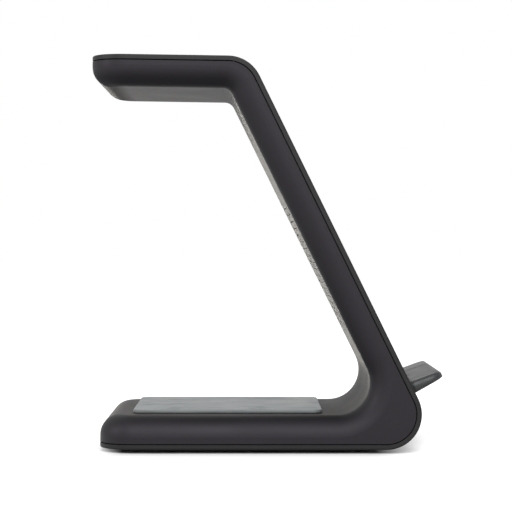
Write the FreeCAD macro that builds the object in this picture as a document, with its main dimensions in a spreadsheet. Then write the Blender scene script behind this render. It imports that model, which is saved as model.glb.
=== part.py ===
"""Wireless charging station: a rigid C-shaped stand for a phone, an earbud case and a watch.

The origin is the middle of the foot mat's face on the table. +X is the side that the phone leans on,
+Y runs across the stand and +Z is up. Sizes are in millimetres and degrees.

The casing follows a strip of three flats, the base, the leg and the arm. A depth is measured from the
outer face of the strip inwards. Each flat has a frame of its own, in which x runs across the stand, y
runs along the strip from the rear of the base to the free end of the arm, and z points out of the casing.
"""
import FreeCAD
import Part
import Sketcher

import math
import os
import re

from FreeCAD import Matrix, Placement, Rotation, Vector

SIZES = {
    # the strip
    "station_width": 80.0,
    "base_length": 121.0,
    "leg_length": 153.6,
    "arm_length": 56.0,
    "leg_lean": 26.15,
    "arm_rise": 0.9,
    "base_thickness": 11.6,
    "leg_thickness": 11.3,
    "arm_thickness": 10.9,
    "outer_bend_radius": 12.4,
    "inner_base_radius": 11.7,
    "inner_arm_radius": 4.0,
    "end_corner_radius": 12.0,
    "inner_edge_radius": 7.2,
    # the two mouldings of the casing
    "shell_wall": 2.0,
    "cover_wall": 1.7,
    "cover_edge_radius": 0.6,
    "parting_gap": 0.3,
    "parting_edge_radius": 0.15,
    "lip_depth": 2.0,
    "lip_wall": 1.2,
    "fit_clearance": 0.15,
    # the vents in the back of the leg
    "vent_count": 18,
    "vent_pitch": 2.76,
    "vent_slot": 0.3,
    "vent_length": 46.0,
    "vent_middle": 77.0,
    # the foot mat
    "foot_rear_margin": 10.0,
    "foot_front_margin": 5.1,
    "foot_side_margin": 7.0,
    "foot_corner_radius": 9.0,
    "foot_edge_radius": 0.5,
    "foot_proud": 1.4,
    "foot_recess": 0.6,
    # the phone ledge
    "ledge_height": 21.3,
    "ledge_reach": 11.9,
    "ledge_root": 4.2,
    "ledge_tip": 2.3,
    "ledge_under_rise": 0.7,
    "ledge_width": 63.0,
    "ledge_corner_radius": 4.0,
    "ledge_top_radius": 1.3,
    "ledge_under_radius": 0.3,
    "lug_thickness": 2.0,
    "lug_width": 9.0,
    "lug_spacing": 40.0,
    "lug_hook": 0.7,
    "lug_hook_length": 1.2,
    # the earbud pad
    "pad_rear_margin": 11.5,
    "pad_front_margin": 4.8,
    "pad_side_margin": 12.7,
    "pad_proud": 1.3,
    "pad_recess": 0.8,
    "pad_gap": 0.35,
    "pad_overhang": 0.9,
    "pad_corner_radius": 3.0,
    "pad_edge_radius": 0.4,
    # the watch pad and the stack under it
    "watch_middle": 29.0,
    "watch_pad_diameter": 34.0,
    "watch_spigot_diameter": 29.0,
    "watch_pad_proud": 1.0,
    "watch_pad_recess": 0.9,
    "watch_pad_edge_radius": 0.6,
    "watch_dish_diameter": 28.0,
    "watch_dish_depth": 0.7,
    "watch_coil_diameter": 25.0,
    "watch_coil_bore": 13.0,
    "watch_coil_height": 1.6,
    "watch_magnet_diameter": 11.0,
    "watch_ferrite_diameter": 29.0,
    "watch_ferrite_height": 1.0,
    "holder_width": 46.0,
    "holder_length": 32.0,
    "holder_height": 1.4,
    "holder_corner_radius": 5.0,
    "holder_screw_margin": 4.0,
    # the phone coils
    "phone_coil_middle": 79.0,
    "phone_coil_spacing": 38.0,
    "phone_coil_width": 46.0,
    "phone_coil_length": 36.0,
    "phone_coil_corner_radius": 16.0,
    "phone_coil_winding": 11.0,
    "phone_coil_height": 1.5,
    "phone_ferrite_width": 50.0,
    "phone_ferrite_length": 77.0,
    "phone_ferrite_height": 1.0,
    "ferrite_corner_radius": 3.0,
    "frame_width": 68.0,
    "frame_length": 82.0,
    "frame_height": 1.5,
    "frame_corner_radius": 4.0,
    "frame_window_width": 30.0,
    "frame_window_length": 24.0,
    "frame_screw_margin": 4.0,
    # the earbud coil
    "earbud_coil_diameter": 42.0,
    "earbud_coil_bore": 18.0,
    "earbud_coil_height": 1.5,
    "earbud_ferrite_size": 44.0,
    "earbud_ferrite_height": 0.8,
    # the board and what it carries
    "board_length": 44.0,
    "board_width": 44.0,
    "board_height": 1.2,
    "board_end_clearance": 0.45,
    "board_post_height": 1.6,
    "board_side_margin": 4.0,
    "board_end_margin": 5.0,
    "controller_size": 7.0,
    "controller_height": 0.9,
    "driver_length": 6.0,
    "driver_width": 5.0,
    "driver_height": 1.0,
    "driver_count": 3,
    "driver_pitch": 8.0,
    "capacitor_length": 3.2,
    "capacitor_width": 2.5,
    "capacitor_height": 1.6,
    "capacitor_count": 4,
    "capacitor_pitch": 4.0,
    "inductor_size": 6.0,
    "inductor_height": 2.2,
    "inductor_count": 2,
    "inductor_pitch": 8.0,
    # the power inlet
    "inlet_width": 8.94,
    "inlet_height": 3.26,
    "inlet_length": 7.35,
    "inlet_wall": 0.3,
    "inlet_back": 0.8,
    "inlet_corner_radius": 1.5,
    "inlet_setback": 0.6,
    "inlet_clearance": 0.2,
    "tongue_width": 6.7,
    "tongue_height": 0.7,
    "tongue_setback": 1.2,
    # the ballast plate
    "ballast_front_margin": 11.6,
    "ballast_width": 46.0,
    "ballast_height": 3.0,
    "ballast_corner_radius": 2.0,
    "ballast_gap": 3.0,
    # fasteners
    "case_side_margin": 11.0,
    "case_rear_margin": 23.0,
    "case_front_margin": 1.0,
    "case_seat_depth": 4.6,
    "case_head_depth": 3.0,
    "case_boss_diameter": 8.0,
    "shell_boss_diameter": 6.0,
    "case_head_diameter": 4.6,
    "case_head_height": 1.6,
    "case_shank_diameter": 2.2,
    "case_engagement": 4.0,
    "small_head_diameter": 3.6,
    "small_head_height": 1.3,
    "small_shank_diameter": 1.8,
    "small_engagement": 1.4,
    "post_diameter": 5.0,
    "screw_clearance": 0.3,
    "pilot_clearance": 0.1,
    # inner leads
    "lead_diameter": 1.4,
    "lead_across": 14.0,
    "lead_board_inset": 3.0,
    "lead_rise": 1.7,
    "lead_bend_radius": 8.0,
    "lead_end_radius": 1.5,
    "phone_lead_inset": 5.0,
    "earbud_lead_across": 12.0,
    "earbud_lead_inset": 7.1,
    "earbud_lead_span": 6.0,
    "earbud_lead_diameter": 1.0,
}

doc = FreeCAD.newDocument("charging_station")
sheet = doc.addObject("Spreadsheet::Sheet", "sizes")
for row, (alias, number) in enumerate(SIZES.items(), 1):
    sheet.set(f"A{row}", alias)
    sheet.set(f"B{row}", str(number))
    sheet.setAlias(f"B{row}", alias)
doc.recompute()


def cells(formula):
    """Writes a formula of size names as an expression on the sheet's cells."""
    return re.sub(r"[a-z_]+", lambda word: f"sizes.{word[0]}" if word[0] in SIZES else word[0], formula)


def value(formula):
    """Works a formula of size names out as a number."""
    return float(sheet.evalExpression(cells(formula)))


# Two places closer than this are the same place, a turn all the way round, and how far a swept lead's
# volume may be from its length times its section
SAME_PLACE = 1e-4
FULL_TURN = 360
VOLUME_SLACK = 0.01

# Places along the base, as formulas of the sizes: the foot, the ends, and where the bends start
BASE_TURN = "tan((90 + leg_lean) / 2 * 1 deg)"
FOOT_LENGTH = f"(base_length - foot_rear_margin - foot_front_margin - outer_bend_radius * {BASE_TURN})"
FOOT_WIDTH = "(station_width - 2 * foot_side_margin)"
BASE_END = f"(0 - foot_rear_margin - {FOOT_LENGTH} / 2)"
FRONT_CORNER = f"({BASE_END} + base_length)"
FLOOR_FRONT = f"({FRONT_CORNER} - outer_bend_radius * {BASE_TURN})"
BAY_FRONT = (f"({FRONT_CORNER} - leg_thickness / cos(leg_lean * 1 deg)"
             f" - base_thickness * tan(leg_lean * 1 deg) - inner_base_radius * {BASE_TURN})")

# Depths, heights and places that several pieces share
SHELL_EDGE = "cover_wall + parting_gap"
LIP_END = "cover_wall + parting_gap + lip_depth"
LIP_INSET = "shell_wall + fit_clearance"
FRAME_POST = "phone_coil_height + phone_ferrite_height"
HOLDER_POST = "watch_coil_height + watch_ferrite_height"
BASE_FLOOR = "foot_proud + cover_wall"
BASE_TOP = "foot_proud + base_thickness"
BASE_CEILING = "foot_proud + base_thickness - shell_wall"
BOARD_UNDER = "foot_proud + cover_wall + board_post_height"
BOARD_TOP = "foot_proud + cover_wall + board_post_height + board_height"
FRAME_BACK = f"cover_wall + {FRAME_POST} + frame_height"
HOLDER_BACK = f"cover_wall + {HOLDER_POST} + holder_height"
BOARD_BACK = "cover_wall + board_post_height + board_height"
INLET_MIDDLE = "foot_proud + cover_wall + board_post_height + board_height / 2"
BOARD_REAR = f"{BASE_END} + shell_wall + board_end_clearance"
BOARD_FRONT = f"{BOARD_REAR} + board_length"
INLET_MOUTH = f"{BASE_END} + inlet_setback"
PAD_REAR = f"({BASE_END} + pad_rear_margin)"
PAD_LENGTH = f"({BAY_FRONT} - pad_front_margin - {PAD_REAR})"
PAD_MIDDLE = f"({PAD_REAR} + {PAD_LENGTH} / 2)"
PAD_WIDTH = "(station_width - 2 * pad_side_margin)"
SPIGOT_LENGTH = f"({PAD_LENGTH} - 2 * pad_overhang)"
SPIGOT_WIDTH = f"({PAD_WIDTH} - 2 * pad_overhang)"
SPIGOT_RADIUS = "pad_corner_radius - pad_overhang"

# Screws, each pattern by its size across and along
CASE_REAR = f"({BASE_END} + case_rear_margin)"
CASE_ALONG = f"({BAY_FRONT} - case_front_margin - {CASE_REAR})"
CASE_MIDDLE = f"({CASE_REAR} + {CASE_ALONG} / 2)"
CASE_SCREWS = ("station_width - 2 * case_side_margin", CASE_ALONG)
BOARD_SCREWS = ("board_width - 2 * board_side_margin", "board_length - 2 * board_end_margin")
FRAME_SCREWS = ("frame_width - 2 * frame_screw_margin", "frame_length - 2 * frame_screw_margin")
HOLDER_SCREWS = ("holder_width - 2 * holder_screw_margin", "0")
SMALL_PILOT = "small_shank_diameter + pilot_clearance"
SMALL_HOLE = "small_shank_diameter + screw_clearance"

# Directions of the strip's flats, and the corners where their outer faces would meet
lean = math.radians(value("leg_lean"))
rise = math.radians(value("arm_rise"))
DIRECTION = {
    "base": Vector(1, 0, 0),
    "leg": Vector(-math.sin(lean), 0, math.cos(lean)),
    "arm": Vector(-math.cos(rise), 0, math.sin(rise)),
}
OUTWARD = {flat: Vector(along.z, 0, -along.x) for flat, along in DIRECTION.items()}
ACROSS = Vector(0, 1, 0)
rear_end = Vector(value(BASE_END), 0, value("foot_proud"))
front_corner = Vector(value(FRONT_CORNER), 0, value("foot_proud"))
top_corner = front_corner + DIRECTION["leg"] * value("leg_length")
arm_end = top_corner + DIRECTION["arm"] * value("arm_length")
ORIGIN = {"base": Vector(0, 0, value("foot_proud")), "leg": front_corner, "arm": top_corner}


def on_strip(flat, along="0", depth="0", across="0"):
    """Gives the point at a place along a flat, at a depth and off the middle of the stand."""
    return (ORIGIN[flat] + DIRECTION[flat] * value(along) - OUTWARD[flat] * value(depth)
            + ACROSS * value(across))


def strip_frame(flat, along="0", depth="0", across="0"):
    """Gives a flat's frame, moved to a place on it."""
    x, y, z = ACROSS, DIRECTION[flat], OUTWARD[flat]
    p = on_strip(flat, along, depth, across)
    return Placement(Matrix(x.x, y.x, z.x, p.x, x.y, y.y, z.y, p.y, x.z, y.z, z.z, p.z, 0, 0, 0, 1))


def level_frame(x="0", y="0", z="0"):
    """Gives a frame that lies flat, with its z up."""
    return Placement(Vector(value(x), value(y), value(z)), Rotation())


# Bodies, sketches and features


def new_body(name):
    """Starts a sub-part."""
    body = doc.addObject("PartDesign::Body", name)
    body.Label = name
    return body


def new_sketch(body, name, plane="XY_Plane", frame=None):
    """Attaches a sketch to one of the body's own planes, moved to a frame where one is given."""
    sketch = body.newObject("Sketcher::SketchObject", name)
    support = next(item for item in body.Origin.OriginFeatures if item.Role == plane)
    sketch.AttachmentSupport = [(support, "")]
    sketch.MapMode = "FlatFace"
    if frame:
        sketch.AttachmentOffset = frame
    return sketch


def bind(sketch, formula, kind, *where, unit=""):
    """Adds a dimension to a sketch and ties it to the sheet."""
    number = math.radians(value(formula)) if unit else value(formula)
    index = sketch.addConstraint(Sketcher.Constraint(kind, *where, number))
    sketch.renameConstraint(index, f"size_{index}")
    sketch.setExpression(f"Constraints.size_{index}", f"({cells(formula)}){unit}")


def rule(sketch, kind, *where):
    """Adds a geometric constraint to a sketch."""
    sketch.addConstraint(Sketcher.Constraint(kind, *where))


def hold_point(sketch, geometry, end, x, y):
    """Ties a point of a sketch to its origin by two formulas, whatever their signs."""
    for kind, axis, formula in (("DistanceX", -2, x), ("DistanceY", -1, y)):
        if abs(value(formula)) < SAME_PLACE:
            rule(sketch, "PointOnObject", geometry, end, axis)
        elif value(formula) > 0:
            bind(sketch, formula, kind, -1, 1, geometry, end)
        else:
            bind(sketch, f"0 - ({formula})", kind, geometry, end, -1, 1)


def circles(sketch, diameter, across="0", along="0"):
    """Draws circles at the corners of a rectangle about the origin, or one where it has no size."""
    signs_x = (1, -1) if value(across) else (1,)
    signs_y = (1, -1) if value(along) else (1,)
    for sign_x in signs_x:
        for sign_y in signs_y:
            x, y = f"{sign_x} * ({across}) / 2", f"{sign_y} * ({along}) / 2"
            ring = sketch.addGeometry(Part.Circle(Vector(value(x), value(y), 0), Vector(0, 0, 1),
                                                  value(diameter) / 2))
            hold_point(sketch, ring, 3, x, y)
            bind(sketch, diameter, "Diameter", ring)


def outline(sketch, points, arcs=None):
    """Draws a closed outline through points, with arcs that bulge left on the sides given a radius."""
    corners = [Vector(value(x), value(y), 0) for x, y in points]
    sides = []
    for index, start in enumerate(corners):
        end = corners[(index + 1) % len(corners)]
        if arcs and index in arcs:
            radius = value(arcs[index])
            chord = end - start
            left = Vector(-chord.y, chord.x, 0).normalize()
            drop = math.sqrt(radius ** 2 - (chord.Length / 2) ** 2)
            top = (start + end) / 2 + left * (radius - drop)
            sides.append(sketch.addGeometry(Part.Arc(start, top, end)))
        else:
            sides.append(sketch.addGeometry(Part.LineSegment(start, end)))
    for index, side in enumerate(sides):
        following = sides[(index + 1) % len(sides)]
        leaving = 1 if arcs and index in arcs else 2
        entering = 2 if arcs and sides.index(following) in arcs else 1
        rule(sketch, "Coincident", side, leaving, following, entering)
        hold_point(sketch, side, leaving, *points[(index + 1) % len(points)])
        if arcs and index in arcs:
            bind(sketch, arcs[index], "Radius", side)


def rounded_rectangle(sketch, size_x, size_y, radius):
    """Draws a rectangle with rounded corners about the sketch's origin."""
    half_x, half_y, round_off = value(size_x) / 2, value(size_y) / 2, value(radius)
    inner_x, inner_y = half_x - round_off, half_y - round_off
    lines = [
        sketch.addGeometry(Part.LineSegment(Vector(*start, 0), Vector(*end, 0)))
        for start, end in (
            ((-inner_x, -half_y), (inner_x, -half_y)), ((half_x, -inner_y), (half_x, inner_y)),
            ((inner_x, half_y), (-inner_x, half_y)), ((-half_x, inner_y), (-half_x, -inner_y)))
    ]
    centres = ((inner_x, -inner_y), (inner_x, inner_y), (-inner_x, inner_y), (-inner_x, -inner_y))
    bends = []
    for index, centre in enumerate(centres):
        circle = Part.Circle(Vector(*centre, 0), Vector(0, 0, 1), round_off)
        start = (index - 1) * math.pi / 2
        bends.append(sketch.addGeometry(Part.ArcOfCircle(circle, start, start + math.pi / 2)))
    for index, bend in enumerate(bends):
        rule(sketch, "Tangent", lines[index], 2, bend, 1)
        rule(sketch, "Tangent", bend, 2, lines[(index + 1) % 4], 1)
        rule(sketch, ("Horizontal", "Vertical")[index % 2], lines[index])
        if index:
            rule(sketch, "Equal", bends[0], bend)
    rule(sketch, "Symmetric", bends[0], 3, bends[2], 3, -1, 1)
    bind(sketch, radius, "Radius", bends[0])
    bind(sketch, size_x, "DistanceX", lines[3], 1, lines[1], 1)
    bind(sketch, size_y, "DistanceY", lines[0], 1, lines[2], 1)


def add_feature(body, kind, sketch, name, length, symmetric=False, flip=False):
    """Pads or pockets a sketch and checks that the body grew or shrank."""
    before = body.Shape.Volume if body.Tip else 0.0
    feature = body.newObject(kind, name)
    feature.Profile = sketch
    feature.setExpression("Length", cells(length))
    feature.SideType = "Symmetric" if symmetric else "One side"
    feature.Reversed = flip
    doc.recompute()
    grown = body.Shape.Volume - before
    if grown * (1 if kind.endswith("Pad") else -1) <= 0:
        raise RuntimeError(f"{body.Label}: {name} changes nothing")
    return feature


def pad(body, sketch, name, length, **options):
    """Adds material along a sketch's normal."""
    return add_feature(body, "PartDesign::Pad", sketch, name, length, **options)


def pocket(body, sketch, name, length, **options):
    """Takes material away against a sketch's normal."""
    return add_feature(body, "PartDesign::Pocket", sketch, name, length, **options)


def turn_round(body, sketch, name):
    """Turns a half section about the sketch's upright axis."""
    feature = body.newObject("PartDesign::Revolution", name)
    feature.Profile = sketch
    feature.ReferenceAxis = (sketch, ["V_Axis"])
    feature.Angle = FULL_TURN
    doc.recompute()


def fillet(body, name, radius, wanted):
    """Rounds the edges of the body that a test picks."""
    base = body.Tip
    names = [f"Edge{index}" for index, edge in enumerate(base.Shape.Edges, 1) if wanted(edge)]
    if not names:
        raise RuntimeError(f"{body.Label}: {name} finds no edge")
    feature = body.newObject("PartDesign::Fillet", name)
    feature.Base = (base, names)
    feature.setExpression("Radius", cells(radius))
    doc.recompute()
    return feature


def strip_profile(sketch, outer_depth, inner_depths, end_inset, inner_radii):
    """Draws the side view of the strip between an outer depth and a depth below each flat.

    Three construction lines are the outer faces, and each side of the profile lies parallel to one.
    """
    flats = ("base", "leg", "arm")
    spine_points = [Vector(p.x, p.z, 0) for p in (rear_end, front_corner, top_corner, arm_end)]
    spine = []
    for start, end in zip(spine_points, spine_points[1:]):
        spine.append(sketch.addGeometry(Part.LineSegment(start, end), True))
    rule(sketch, "Coincident", spine[0], 2, spine[1], 1)
    rule(sketch, "Coincident", spine[1], 2, spine[2], 1)
    rule(sketch, "Horizontal", spine[0])
    hold_point(sketch, spine[0], 2, FRONT_CORNER, "foot_proud")
    for line, length in zip(spine, ("base_length", "leg_length", "arm_length")):
        bind(sketch, length, "Distance", line)
    bind(sketch, "90 + leg_lean", "Angle", spine[1], unit=" * 1 deg")
    bind(sketch, "180 - arm_rise", "Angle", spine[2], unit=" * 1 deg")

    directions = [Vector(DIRECTION[flat].x, DIRECTION[flat].z, 0) for flat in flats]
    outwards = [Vector(OUTWARD[flat].x, OUTWARD[flat].z, 0) for flat in flats]

    def side(depths, radii):
        """Draws one face of the strip from the base to the arm and gives its lines and bends."""
        starts = [spine_points[i] - outwards[i] * value(depths[i]) for i in range(3)]
        corners = [meet(starts[i], directions[i], starts[i + 1], directions[i + 1]) for i in range(2)]
        first = starts[0] + directions[0] * value(end_inset)
        last = spine_points[3] - outwards[2] * value(depths[2]) - directions[2] * value(end_inset)
        stops = [first]
        middles = []
        for i, corner in enumerate(corners):
            half_turn = directions[i].getAngle(directions[i + 1]) / 2
            tangent = value(radii[i]) * math.tan(half_turn)
            stops += [corner - directions[i] * tangent, corner + directions[i + 1] * tangent]
            inward = (directions[i + 1] - directions[i]).normalize()
            middles.append(corner + inward * value(radii[i]) * (1 / math.cos(half_turn) - 1))
        stops.append(last)
        lines = [sketch.addGeometry(Part.LineSegment(stops[2 * i], stops[2 * i + 1])) for i in range(3)]
        arcs = [Part.Arc(stops[2 * i + 1], middles[i], stops[2 * i + 2]) for i in range(2)]
        bends = [sketch.addGeometry(arc) for arc in arcs]
        for i in range(2):
            rule(sketch, "Tangent", lines[i], 2, bends[i], 1)
            rule(sketch, "Tangent", bends[i], 2, lines[i + 1], 1)
            bind(sketch, radii[i], "Radius", bends[i])
        for i in range(3):
            rule(sketch, "Parallel", lines[i], spine[i])
            if value(depths[i]):
                bind(sketch, depths[i], "Distance", lines[i], 1, spine[i])
            else:
                rule(sketch, "PointOnObject", lines[i], 1, spine[i])
        return lines

    outer_radius = f"outer_bend_radius - ({outer_depth})"
    outer = side([outer_depth] * 3, [outer_radius] * 2)
    inner = side(inner_depths, inner_radii)
    for line, end, along in ((0, 1, spine[0]), (2, 2, spine[2])):
        start = sketch.getPoint(outer[line], end)
        stop = sketch.getPoint(inner[line], end)
        cap = sketch.addGeometry(Part.LineSegment(start, stop))
        rule(sketch, "Coincident", outer[line], end, cap, 1)
        rule(sketch, "Coincident", inner[line], end, cap, 2)
        rule(sketch, "Perpendicular", cap, along)
        if value(end_inset):
            bind(sketch, end_inset, "Distance", along, end, cap)
        else:
            rule(sketch, "PointOnObject", along, end, cap)


def meet(start_a, along_a, start_b, along_b):
    """Gives the point where two lines in a plane cross."""
    cross = along_a.x * along_b.y - along_a.y * along_b.x
    gap = start_b - start_a
    return start_a + along_a * ((gap.x * along_b.y - gap.y * along_b.x) / cross)


def even_strip(sketch, outer_depth, inner_depth, end_inset):
    """Draws a strip of one thickness that bends about the same centres as the outer face."""
    strip_profile(sketch, outer_depth, [inner_depth] * 3, end_inset,
                  [f"outer_bend_radius - ({inner_depth})"] * 2)


def at_free_end(end_inset, side_inset):
    """Gives a test for the upright corner edges at the two free ends of a strip."""
    half_width = value("station_width") / 2 - value(side_inset)

    def test(edge):
        if len(edge.Vertexes) != 2:
            return False
        for corner in edge.Vertexes:
            p = corner.Point
            rear = (p - rear_end).dot(DIRECTION["base"]) - value(end_inset)
            free = (arm_end - p).dot(DIRECTION["arm"]) - value(end_inset)
            if abs(abs(p.y) - half_width) > SAME_PLACE or min(abs(rear), abs(free)) > SAME_PLACE:
                return False
        return abs(edge.Vertexes[0].Y - edge.Vertexes[1].Y) < SAME_PLACE

    return test


def along_side(height):
    """Gives a test for the straight edge at a height along the near side of the base."""
    half_width = value("station_width") / 2

    def test(edge):
        p = edge.CenterOfMass
        return abs(p.z - value(height)) < SAME_PLACE and abs(p.y + half_width) < SAME_PLACE

    return test


def top_ring(height):
    """Gives a test for every edge that lies at a height in the body's own frame."""
    return lambda edge: all(abs(corner.Z - value(height)) < SAME_PLACE for corner in edge.Vertexes)


def hollow(body, name, wall, inner_too=False):
    """Leaves a wall along the sides of a strip, open on its outer face and, if asked, on its inner one.

    The outer face looks away from the space under the arm, and at most as far back as the arm rises.
    """
    solid = body.Tip
    farthest_back = -2 * math.sin(rise) - SAME_PLACE
    under_arm = (rear_end + arm_end - DIRECTION["arm"] * value("arm_length")) / 2
    names = []
    for index, face in enumerate(solid.Shape.Faces, 1):
        u_low, u_high, v_low, v_high = face.ParameterRange
        middle = ((u_low + u_high) / 2, (v_low + v_high) / 2)
        normal = face.normalAt(*middle)
        away = normal.dot(face.valueAt(*middle) - under_arm)
        level = abs(normal.y) < SAME_PLACE
        looks_out = away > 0 and normal.x > farthest_back
        if level and (looks_out or inner_too and away < 0):
            names.append(f"Face{index}")
    feature = body.newObject("PartDesign::Thickness", name)
    feature.Base = (solid, names)
    feature.setExpression("Value", cells(wall))
    feature.Reversed = True
    doc.recompute()
    if body.Shape.Volume >= solid.Shape.Volume:
        raise RuntimeError(f"{body.Label}: {name} hollows nothing")


def posts(body, name, frame, diameter, height, across, along, flip=True):
    """Adds round posts about a frame, pointing into the casing."""
    sketch = new_sketch(body, f"{name}_sketch", frame=frame)
    circles(sketch, diameter, across, along)
    return pad(body, sketch, name, height, flip=flip)


def holes(body, name, frame, diameter, depth, across="0", along="0", flip=False):
    """Cuts round holes about a frame, pointing into the casing."""
    sketch = new_sketch(body, f"{name}_sketch", frame=frame)
    circles(sketch, diameter, across, along)
    return pocket(body, sketch, name, depth, flip=flip)


# The casing


def make_inner_shell():
    """The deep tray on the inside of the C, with its rounded edge, vents, bosses and inlet mouth."""
    body = new_body("inner_shell")
    profile = new_sketch(body, "shell_profile", "XZ_Plane")
    strip_profile(profile, SHELL_EDGE, ["base_thickness", "leg_thickness", "arm_thickness"], "0",
                  ["inner_base_radius", "inner_arm_radius"])
    pad(body, profile, "shell_strip", "station_width", symmetric=True)
    fillet(body, "shell_corners", "end_corner_radius", at_free_end("0", "0"))
    fillet(body, "shell_rounding", "inner_edge_radius", along_side(BASE_TOP))

    hollow(body, "shell_hollow", "shell_wall")
    fillet(body, "shell_parting_edge", "parting_edge_radius", along_side(f"foot_proud + {SHELL_EDGE}"))

    seat = strip_frame("base", CASE_MIDDLE, "case_seat_depth")
    posts(body, "case_bosses", seat, "shell_boss_diameter",
          "base_thickness - shell_wall / 2 - case_seat_depth", *CASE_SCREWS)
    holes(body, "case_pilots", seat, "case_shank_diameter + pilot_clearance",
          "case_engagement + fit_clearance", *CASE_SCREWS)

    first = strip_frame("leg", "vent_middle - (vent_count - 1) * vent_pitch / 2",
                        "leg_thickness - shell_wall / 2")
    slot = new_sketch(body, "vent_sketch", frame=first)
    rounded_rectangle(slot, "vent_length", "vent_slot", "vent_slot / 3")
    cut = pocket(body, slot, "vent_slot", "shell_wall * 2", symmetric=True)
    vents = body.newObject("PartDesign::LinearPattern", "vents")
    vents.Originals = [cut]
    vents.Direction = (slot, ["V_Axis"])
    vents.setExpression("Length", cells("(vent_count - 1) * vent_pitch"))
    vents.setExpression("Occurrences", cells("vent_count"))
    body.Tip = vents
    doc.recompute()

    seat = new_sketch(body, "pad_seat_sketch", frame=level_frame(PAD_MIDDLE, "0", BASE_TOP))
    rounded_rectangle(seat, f"{SPIGOT_LENGTH} + 2 * fit_clearance", f"{SPIGOT_WIDTH} + 2 * fit_clearance",
                      f"{SPIGOT_RADIUS} + fit_clearance")
    pocket(body, seat, "pad_seat", "pad_recess")

    mouth = new_sketch(body, "inlet_mouth_sketch", frame=inlet_frame(BASE_END))
    rounded_rectangle(mouth, "inlet_height + 2 * inlet_clearance", "inlet_width + 2 * inlet_clearance",
                      "inlet_corner_radius + inlet_clearance")
    pocket(body, mouth, "inlet_mouth", "shell_wall * 2", flip=True)
    return body


def inlet_frame(x):
    """Gives an upright frame at the rear of the base, facing forwards, at the inlet's height."""
    p = Vector(value(x), 0, value(INLET_MIDDLE))
    return Placement(Matrix(0, 0, 1, p.x, 0, 1, 0, p.y, -1, 0, 0, p.z, 0, 0, 0, 1))


def make_outer_cover():
    """The thin cover over the top, the phone's side and the bottom, with a lip inside the tray."""
    body = new_body("outer_cover")
    lip = new_sketch(body, "lip_profile", "XZ_Plane")
    even_strip(lip, "cover_wall / 2", LIP_END, LIP_INSET)
    pad(body, lip, "lip_block", f"station_width - 2 * ({LIP_INSET})", symmetric=True)
    fillet(body, "lip_corners", f"end_corner_radius - ({LIP_INSET})", at_free_end(LIP_INSET, LIP_INSET))
    hollow(body, "lip_ring", "lip_wall", inner_too=True)

    plate = new_sketch(body, "cover_profile", "XZ_Plane")
    even_strip(plate, "0", "cover_wall", "0")
    pad(body, plate, "cover_plate", "station_width", symmetric=True)
    fillet(body, "cover_corners", "end_corner_radius", at_free_end("0", "0"))
    fillet(body, "cover_edge", "cover_edge_radius", along_side("foot_proud"))
    fillet(body, "cover_parting_edge", "parting_edge_radius", along_side("foot_proud + cover_wall"))

    notch = new_sketch(body, "lip_notch_sketch", frame=level_frame(BOARD_REAR, "0", BASE_FLOOR))
    rounded_rectangle(notch, "2 * (lip_wall + board_end_clearance + fit_clearance)",
                      "board_width + 2 * lip_wall", "lip_wall / 2")
    pocket(body, notch, "lip_notch", "parting_gap + lip_depth + lip_wall", flip=True)

    inner = strip_frame("base", CASE_MIDDLE, "cover_wall / 2")
    posts(body, "case_cups", inner, "case_boss_diameter", "case_seat_depth - cover_wall / 2",
          *CASE_SCREWS)
    outer = strip_frame("base", CASE_MIDDLE)
    holes(body, "case_counterbores", outer, "case_head_diameter + 2 * screw_clearance",
          "case_head_depth", *CASE_SCREWS)
    holes(body, "case_holes", outer, "case_shank_diameter + 2 * screw_clearance",
          "case_seat_depth + fit_clearance", *CASE_SCREWS)

    add_posts(body, "board", board_frame("cover_wall"), "board_post_height", *BOARD_SCREWS)
    add_posts(body, "frame", strip_frame("leg", "phone_coil_middle", "cover_wall"), FRAME_POST,
              *FRAME_SCREWS)
    add_posts(body, "holder", strip_frame("arm", "watch_middle", "cover_wall"), HOLDER_POST,
              *HOLDER_SCREWS)

    foot = new_sketch(body, "foot_seat_sketch", frame=strip_frame("base"))
    rounded_rectangle(foot, f"{FOOT_WIDTH} + 2 * fit_clearance", f"{FOOT_LENGTH} + 2 * fit_clearance",
                      "foot_corner_radius + fit_clearance")
    pocket(body, foot, "foot_seat", "foot_recess")

    watch = strip_frame("arm", "watch_middle")
    holes(body, "watch_seat", watch, "watch_pad_diameter + 2 * fit_clearance", "watch_pad_recess")
    holes(body, "watch_hole", watch, "watch_spigot_diameter + 2 * fit_clearance", "cover_wall * 2")

    for side in ("lug_spacing / 2", "0 - lug_spacing / 2"):
        name = "lug_slot_far" if value(side) > 0 else "lug_slot_near"
        root = strip_frame("leg", "ledge_height + ledge_root / 2", "0", side)
        slot = new_sketch(body, f"{name}_sketch", frame=root)
        rounded_rectangle(slot, "lug_width + 2 * fit_clearance", "lug_thickness + 2 * fit_clearance",
                          "fit_clearance")
        pocket(body, slot, name, "cover_wall * 2")
    return body


def board_frame(depth):
    """Gives the base's frame at the middle of the board."""
    return strip_frame("base", f"{BOARD_REAR} + board_length / 2", depth)


def add_posts(body, name, frame, height, across, along):
    """Adds screw posts inside the cover, with their pilot holes."""
    posts(body, f"{name}_posts", frame, "post_diameter", height, across, along)
    top = frame.multiply(Placement(Vector(0, 0, -value(height)), Rotation()))
    holes(body, f"{name}_pilots", top, SMALL_PILOT, "small_engagement + fit_clearance", across, along,
          flip=True)


def on_slope(at_leg, at_tip):
    """Gives a test for the edges of a sloping face of the ledge that stand clear of the leg."""
    foot = value(at_leg)
    rise = (value(at_tip) - foot) / value("ledge_reach")

    def wanted(edge):
        on_face = all(abs(corner.Y - foot - rise * corner.Z) < SAME_PLACE for corner in edge.Vertexes)
        return on_face and any(corner.Z > SAME_PLACE for corner in edge.Vertexes)

    return wanted


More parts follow.
